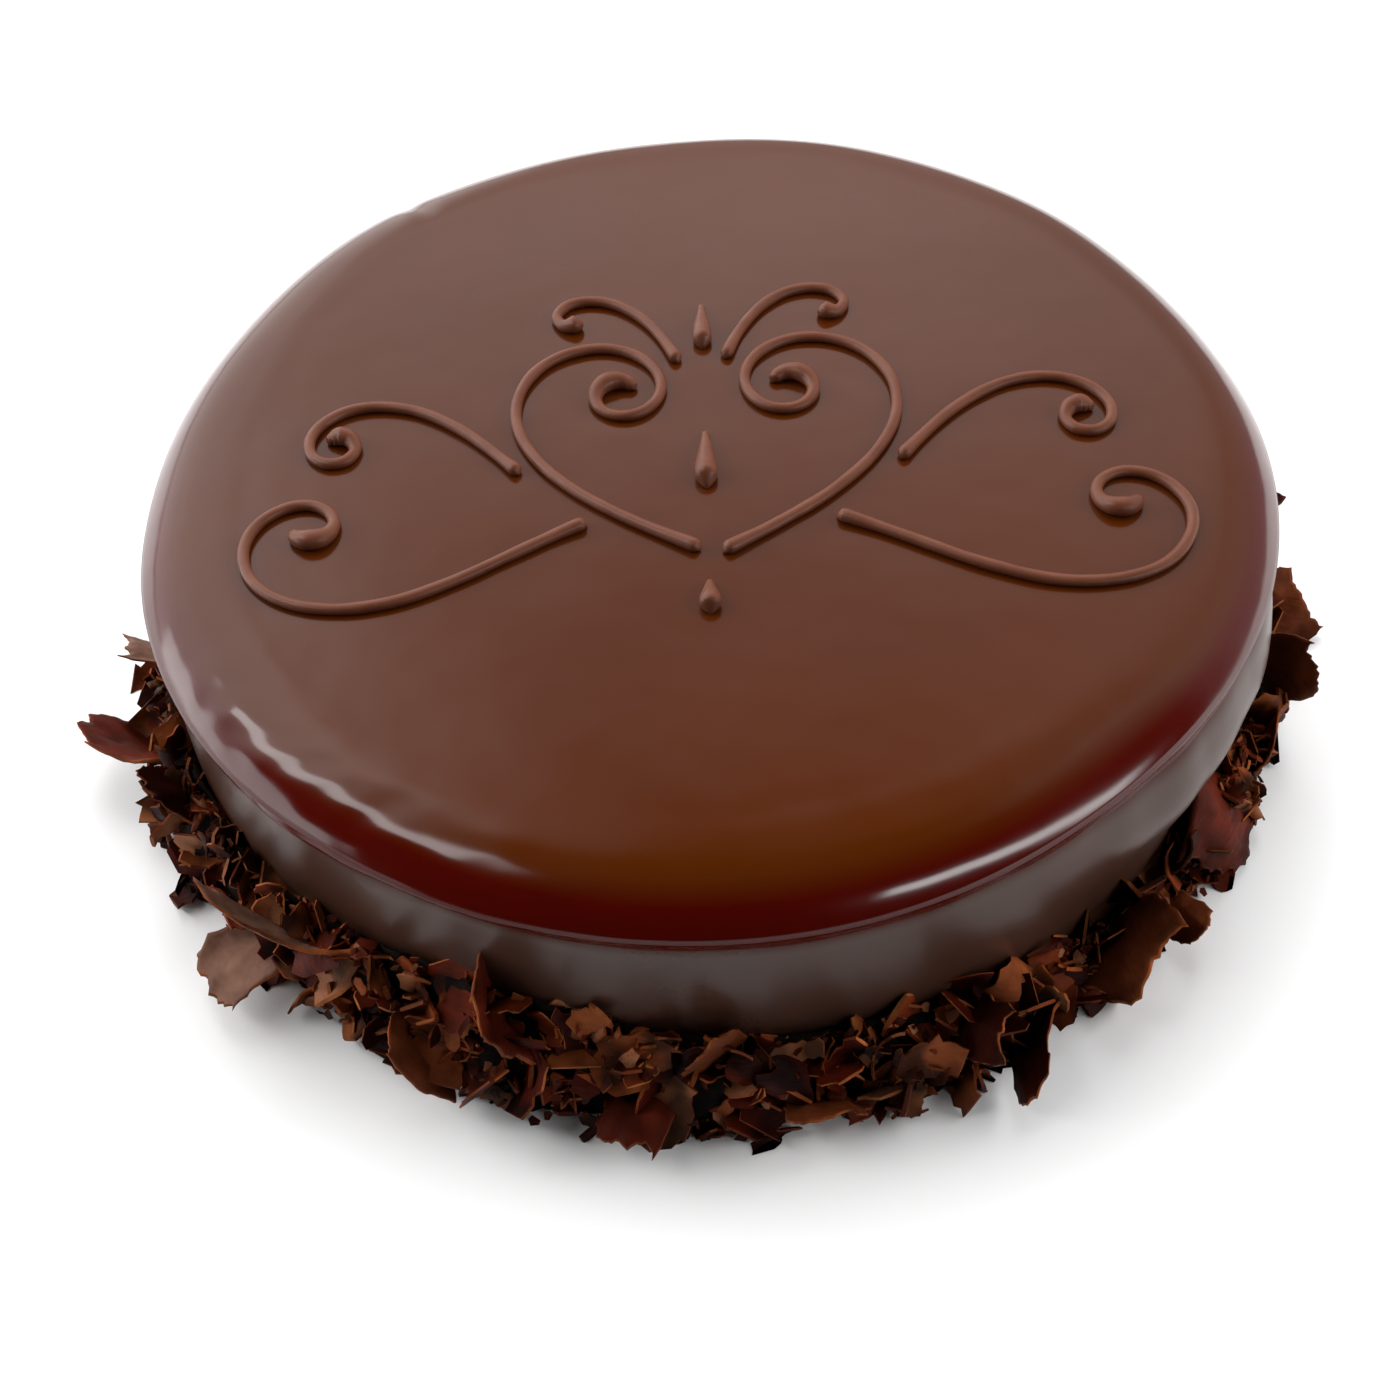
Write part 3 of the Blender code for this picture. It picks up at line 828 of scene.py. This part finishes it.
def chip_plate(rng, kind):
    """Vertices, faces and material numbers of one broken plate round the origin."""
    size = kind["size"][0] + (kind["size"][1] - kind["size"][0]) * rng.random() ** 1.6
    outline = chip_outline(rng, rng.randint(*kind["corners"]), kind["side"])
    thickness = rng.uniform(*kind["thickness"])
    curvature = rng.uniform(*kind["bend"]) / size
    rings = ((0.55, 1.0), (1.0, 0.45)) if kind["side"] > 1 else ((1.0, 0.5),)
    n = len(outline)
    vertices = []
    for side in (-1, 1):
        vertices.append(Vector((0, 0, side * thickness / 2)))
        for share, thinning in rings:
            for p in outline:
                wave = rng.uniform(-0.2, 0.2) * thickness
                flat = p * share * size / 2
                vertices.append(Vector((flat.x, flat.y, side * thickness * thinning / 2 + wave)))
    half = 1 + len(rings) * n
    faces = []
    for i in range(n):
        j = (i + 1) % n
        faces.append((half, half + 1 + i, half + 1 + j))
        faces.append((0, 1 + j, 1 + i))
        if len(rings) > 1:
            faces.append((half + 1 + i, half + 1 + n + i, half + 1 + n + j, half + 1 + j))
            faces.append((1 + j, 1 + n + j, 1 + n + i, 1 + i))
    last = 1 + (len(rings) - 1) * n
    material_of = [0] * len(faces) + [1] * n
    for i in range(n):
        j = (i + 1) % n
        faces.append((last + i, last + j, half + last + j, half + last + i))
    return [curled(v, curvature) for v in vertices], faces, material_of




def make_heap_kind(name, plate_maker, kind, materials, room):
    """All pieces of one kind, spread evenly round the cake, as one mesh."""
    rng = random.Random(name)
    vertices = []
    faces = []
    material_of = []
    for number in range(kind["count"]):
        place = heap_place(rng, kind, TAU * (number + rng.random()) / kind["count"])
        plate, plate_sides, plate_materials = plate_maker(rng, kind)
        start = len(vertices)
        vertices += [inside_room(place @ v, room) for v in plate]
        faces += [tuple(v + start for v in face) for face in plate_sides]
        material_of += plate_materials
    obj = mesh_object(name, vertices, faces, materials, material_of)
    obj.data.set_sharp_from_angle(angle=math.radians(32))
    return dress(obj, "chocolate_flakes", "flake_coat")


def make_crumbs(material, room):
    """Loose crumbs in the heap: uneven lumps with eight faces."""
    rng = random.Random("crumbs")
    ends = [Vector(v) for v in ((1, 0, 0), (-1, 0, 0), (0, 1, 0), (0, -1, 0), (0, 0, 1), (0, 0, -1))]
    lump = [(0, 2, 4), (2, 1, 4), (1, 3, 4), (3, 0, 4), (2, 0, 5), (1, 2, 5), (3, 1, 5), (0, 3, 5)]
    vertices = []
    faces = []
    for _ in range(CRUMB_COUNT):
        surface, facing = heap_surface(rng.uniform(0, TAU), rng.uniform(0, 1))
        middle = surface + facing * rng.uniform(*CRUMB_DEPTH)
        size = rng.uniform(*CRUMB_SIZE) / 2
        middle.z = max(middle.z, CRUMB_STRETCH[1] * size)
        turn = Euler([rng.uniform(0, TAU) for _ in range(3)]).to_matrix()
        start = len(vertices)
        vertices += [inside_room(middle + turn @ (end * size * rng.uniform(*CRUMB_STRETCH)), room) for end in ends]
        faces += [tuple(v + start for v in face) for face in lump]
    obj = mesh_object("flake_crumbs", vertices, faces, [material])
    obj.data.set_sharp_from_angle(angle=math.radians(30))
    return dress(obj, "chocolate_flakes", "flake_coat")


def make_shadow_core(material):
    """A near-black sheet a little under the heap's outline and rough all over: painted shade in the gaps between the
    pieces.
    """
    around, rows = 540, 16
    vertices = []
    for i in range(around):
        angle = TAU * i / around
        inner = float(wall_radius(angle)) - 0.3 * MM
        for j in range(rows):
            down = j / (rows - 1)
            surface, facing = heap_surface(angle, down)
            rough = noise.noise(surface * 230) + 0.6 * noise.noise(surface * 600)
            point = surface - facing * (SHADOW_CORE_SHRINK + 1.6 * MM * rough)
            reach = math.hypot(point.x, point.y)
            hold = max(reach, inner + 0.4 * MM) / reach
            vertices.append((point.x * hold, point.y * hold, max(point.z, 0) * (j < rows - 1)))
        vertices.append((inner * math.cos(angle), inner * math.sin(angle), 0))
        vertices.append((inner * math.cos(angle), inner * math.sin(angle), float(coat_height(angle)) - 2 * SHADOW_CORE_SHRINK))
    rows += 2
    faces = []
    for i in range(around):
        here, beyond = i * rows, (i + 1) % around * rows
        for j in range(rows):
            k = (j + 1) % rows
            faces.append((here + j, here + k, beyond + k, beyond + j))
    return dress(mesh_object("flake_shadow_core", vertices, faces, [material]), "chocolate_flakes", "flake_coat")


# ---------------------------------------------------------------- stage


def make_floor():
    bpy.ops.mesh.primitive_plane_add(size=8, location=(0, 0, -0.0001))
    floor = bpy.context.object
    floor.name = "floor"
    material, nodes, links = new_material("floor")
    shader = nodes["Principled BSDF"]
    shader.inputs["Base Color"].default_value = (0.88, 0.88, 0.88, 1)
    shader.inputs["Roughness"].default_value = 0.9
    floor.data.materials.append(material)


def make_softbox(name, azimuth, elevation, distance, width, height, power, roll=0, glossy=True):
    """A rectangular soft light that faces the cake, at an angle round from +X and above the floor.

    roll turns its long side away from level. A light that isn't glossy isn't mirrored by the glaze.
    """
    light = bpy.data.lights.new(name, "AREA")
    light.shape = "RECTANGLE"
    light.size = width
    light.size_y = height
    light.energy = power
    obj = bpy.data.objects.new(name, light)
    turn, rise = math.radians(azimuth), math.radians(elevation)
    away = Vector((math.cos(turn) * math.cos(rise), math.sin(turn) * math.cos(rise), math.sin(rise)))
    obj.location = Vector((0, 0, 0.04)) + away * distance
    obj.rotation_mode = "QUATERNION"
    obj.rotation_quaternion = away.to_track_quat("Z", "Y") @ Quaternion((0, 0, 1), math.radians(roll))
    obj.visible_glossy = glossy
    obj.visible_camera = False
    bpy.context.scene.collection.objects.link(obj)


# What stands round the cake, as glow against a part of the way that leads there, of length 1:
# the backdrop behind fades upwards, the pale wall to the left grows brighter sideways, and both end overhead
BACKDROP_GLOW = (
    (0.0, 0.5), (0.35, 0.8), (0.50, 1.0), (0.57, 1.42), (0.62, 1.36), (0.66, 1.15), (0.70, 0.85), (0.755, 0.52),
    (0.785, 0.42), (0.805, 0.27), (0.83, 0.0),
)
LEFT_GLOW = ((0.0, 0.0), (0.05, 0.15), (0.11, 0.43), (0.19, 1.05), (0.25, 1.75))
OVERHEAD = (0.84, 0.95)  # how steeply a way leads up where the walls beside the cake fade out
RIGHT_GLOW = 0.5
RIGHT_START = (0.1, 0.5)  # how far to the right a way leads where the right wall takes over from the backdrop
BACK_START = (-0.1, 0.2)  # how far back a way leads where the backdrop and the walls begin
ROOM_GLOW = 0.95  # what the camera sees beyond the floor


def glow_node(nodes, links, source, stops):
    """A grey ramp through (value, glow) stops, where the glow may be above 1."""
    low, high = stops[0][0], stops[-1][0]
    brightest = max(glow for _, glow in stops)
    across = range_node(nodes, links, source, low, high, 0, 1)
    shades = [((value - low) / (high - low), (glow / brightest,) * 3) for value, glow in stops]
    return range_node(nodes, links, ramp_node(nodes, links, across, *shades), 0, 1, 0, brightest)


def math_node(nodes, links, operation, first, second):
    node = nodes.new("ShaderNodeMath")
    node.operation = operation
    for socket, value in zip(node.inputs, (first, second)):
        if isinstance(value, (int, float)):
            socket.default_value = value
        else:
            links.new(value, socket)
    return node.outputs["Value"]


def make_room():
    """A dark room with a softly fading pale backdrop, which the glaze mirrors."""
    world = bpy.data.worlds.new("room")
    world.use_nodes = True
    nodes, links = world.node_tree.nodes, world.node_tree.links
    way = nodes.new("ShaderNodeSeparateXYZ")
    links.new(nodes.new("ShaderNodeTexCoord").outputs["Generated"], way.inputs["Vector"])
    back = glow_node(nodes, links, way.outputs["Z"], BACKDROP_GLOW)
    leftward = math_node(nodes, links, "MULTIPLY", way.outputs["X"], -1)
    fading = range_node(nodes, links, way.outputs["Z"], *OVERHEAD, 1, 0)
    left = math_node(nodes, links, "MULTIPLY", glow_node(nodes, links, leftward, LEFT_GLOW), fading)
    right_share = range_node(nodes, links, way.outputs["X"], *RIGHT_START, 0, 1)
    back_share = math_node(nodes, links, "SUBTRACT", 1, right_share)
    right = math_node(nodes, links, "MULTIPLY", math_node(nodes, links, "MULTIPLY", right_share, fading), RIGHT_GLOW)
    back = math_node(nodes, links, "ADD", math_node(nodes, links, "MULTIPLY", back, back_share), right)
    walls = math_node(nodes, links, "MAXIMUM", back, left)
    behind = range_node(nodes, links, way.outputs["Y"], *BACK_START, 0, 1)
    glow = nodes["Background"]
    links.new(math_node(nodes, links, "MULTIPLY", walls, behind), glow.inputs["Strength"])
    glow.inputs["Color"].default_value = (1, 1, 1, 1)
    plain = nodes.new("ShaderNodeBackground")
    plain.inputs["Strength"].default_value = ROOM_GLOW
    switch = nodes.new("ShaderNodeMixShader")
    links.new(nodes.new("ShaderNodeLightPath").outputs["Is Camera Ray"], switch.inputs["Fac"])
    links.new(glow.outputs["Background"], switch.inputs[1])
    links.new(plain.outputs["Background"], switch.inputs[2])
    links.new(switch.outputs["Shader"], nodes["World Output"].inputs["Surface"])
    bpy.context.scene.world = world


def make_lights():
    make_softbox("window_left", 186, 49, 1.3, 0.87, 0.27, 4.1, roll=33)
    make_softbox("softbox_left", 186, 6, 1.3, 1.15, 0.41, 4.2)
    make_softbox("window_right", -38, 21, 1.3, 1.03, 0.13, 4.0, roll=-30)
    make_softbox("softbox_top", 90, 54, 1.0, 0.9, 0.9, 11.0, glossy=False)
    make_softbox("softbox_right", 6, 26, 1.2, 0.9, 0.8, 12.5, glossy=False)
    make_softbox("softbox_low_left", 166, 22, 1.2, 0.9, 0.6, 9.0, glossy=False)
    make_room()


CAMERA_PLACE = (0, -306.5 * MM, 350.6 * MM)
CAMERA_DOWN = math.radians(50.62)
CAMERA_YAW = math.radians(-0.63)
CAMERA_ROLL = math.radians(-2.3)
CAMERA_LENS = 50.3


def make_camera():
    camera = bpy.data.objects.new("camera", bpy.data.cameras.new("camera"))
    camera.data.lens = CAMERA_LENS
    level = Matrix.Rotation(-CAMERA_YAW, 4, "Z") @ Matrix.Rotation(math.pi / 2 - CAMERA_DOWN, 4, "X")
    camera.matrix_world = Matrix.Translation(CAMERA_PLACE) @ level @ Matrix.Rotation(CAMERA_ROLL, 4, "Z")
    bpy.context.scene.collection.objects.link(camera)
    bpy.context.scene.camera = camera


def corners(box):
    return [list(corner) for corner in box]


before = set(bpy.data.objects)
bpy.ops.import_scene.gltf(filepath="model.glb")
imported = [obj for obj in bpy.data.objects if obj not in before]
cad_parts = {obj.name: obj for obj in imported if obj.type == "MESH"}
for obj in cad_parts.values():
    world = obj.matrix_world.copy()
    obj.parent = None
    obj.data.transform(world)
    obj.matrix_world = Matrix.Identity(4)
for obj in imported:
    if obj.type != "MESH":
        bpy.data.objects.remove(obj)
solid_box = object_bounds()

bpy.context.scene.view_settings.view_transform = "Standard"
make_camera()
make_floor()
make_lights()

edge = flake_material(
    "flake_edges", (0.105, 0.016, 0.0034), (0.190, 0.042, 0.0095), (0.310, 0.096, 0.027), cluster_shade=0.5,
)
tones = {
    "dark": flake_material("flake_dark", (0.013, 0.0020, 0.0010), (0.046, 0.0062, 0.0024), cluster_shade=0.4),
    "red": flake_material("flake_red", (0.060, 0.0062, 0.0023), (0.105, 0.0145, 0.0048), cluster_shade=0.4),
    "brown": flake_material("flake_brown", (0.098, 0.0185, 0.0056), (0.160, 0.042, 0.0135), cluster_shade=0.4),
    "grey": flake_material("flake_grey", (0.135, 0.062, 0.040), (0.190, 0.096, 0.064)),
}
heap = flake_material(
    "flake_heap",
    (0.012, 0.0015, 0.0007), (0.056, 0.0052, 0.0017), (0.102, 0.0128, 0.0034), (0.152, 0.0275, 0.0070),
    (0.215, 0.057, 0.0155), (0.275, 0.115, 0.056), cluster_shade=0.82,
)
# Near-black painted shade for the gaps in the heap
shadow_core = flake_material("flake_shadow", (0.004, 0.002, 0.0015), (0.006, 0.003, 0.002), roughness=0.7, gloss=0.1)

make_glaze(glaze_material())
make_scroll(piping_material())
make_large_flakes(tones, edge, solid_box)
make_shadow_core(shadow_core)
make_heap_kind("curled_flakes", curl_plate, CURLS, [heap, edge], solid_box)
for kind_name, kind_facts in BROKEN_KINDS.items():
    make_heap_kind(kind_name, chip_plate, kind_facts, [heap, edge], solid_box)
make_crumbs(heap, solid_box)
